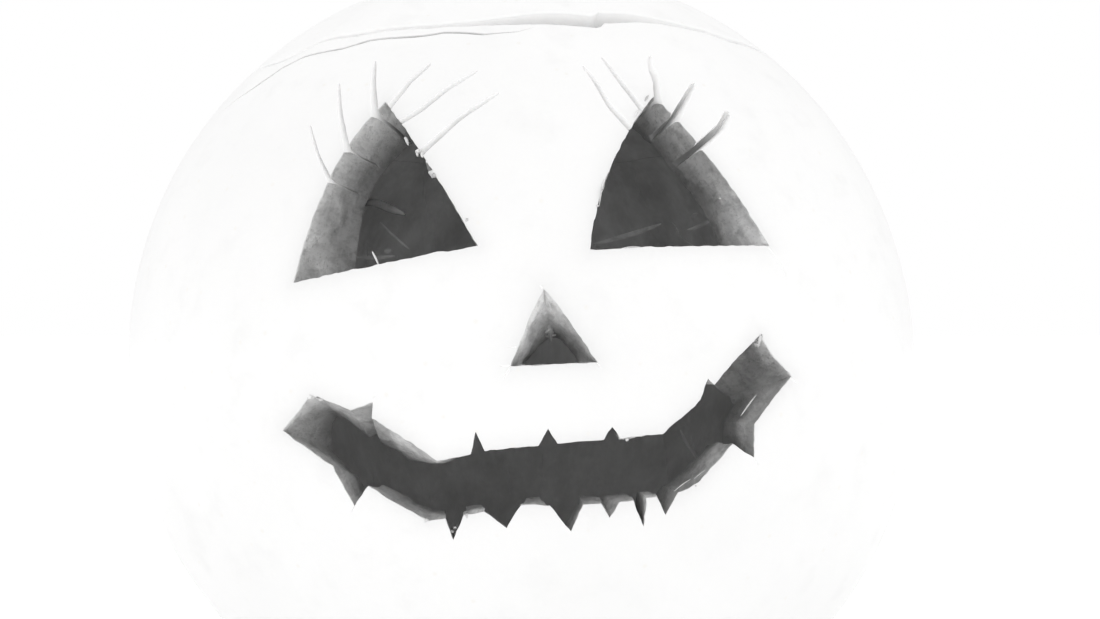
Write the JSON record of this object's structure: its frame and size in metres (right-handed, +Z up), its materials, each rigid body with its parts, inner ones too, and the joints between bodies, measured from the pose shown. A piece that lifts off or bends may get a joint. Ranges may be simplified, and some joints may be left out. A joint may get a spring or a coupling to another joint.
{
  "type": "carved pumpkin lantern",
  "caption": "Hollowed pumpkin with lashed triangular eyes, a small nose and a wide notched smile cut through its wall, closed by a loose cut-out lid with a stem.",
  "frame": {"origin": "on the ground at the middle of the flat foot, below the middle of the pumpkin", "axes": "+Z up, the carved face looks along -Y, +X to the right of someone who looks at the face"},
  "size_m": [0.301, 0.3, 0.324],
  "materials": {
    "shell": "smooth pale waxy rind, cut flesh grey-cream and slightly moist in the openings",
    "lid": "smooth pale waxy rind with a dry fibrous stem",
    "flesh": "moist raw pumpkin flesh and shreds along the cuts",
    "stem": "dry ridged fibrous stem"
  },
  "bodies": {
    "root": {"shell": "shell", "lid": "lid"}
  },
  "joints": []
}
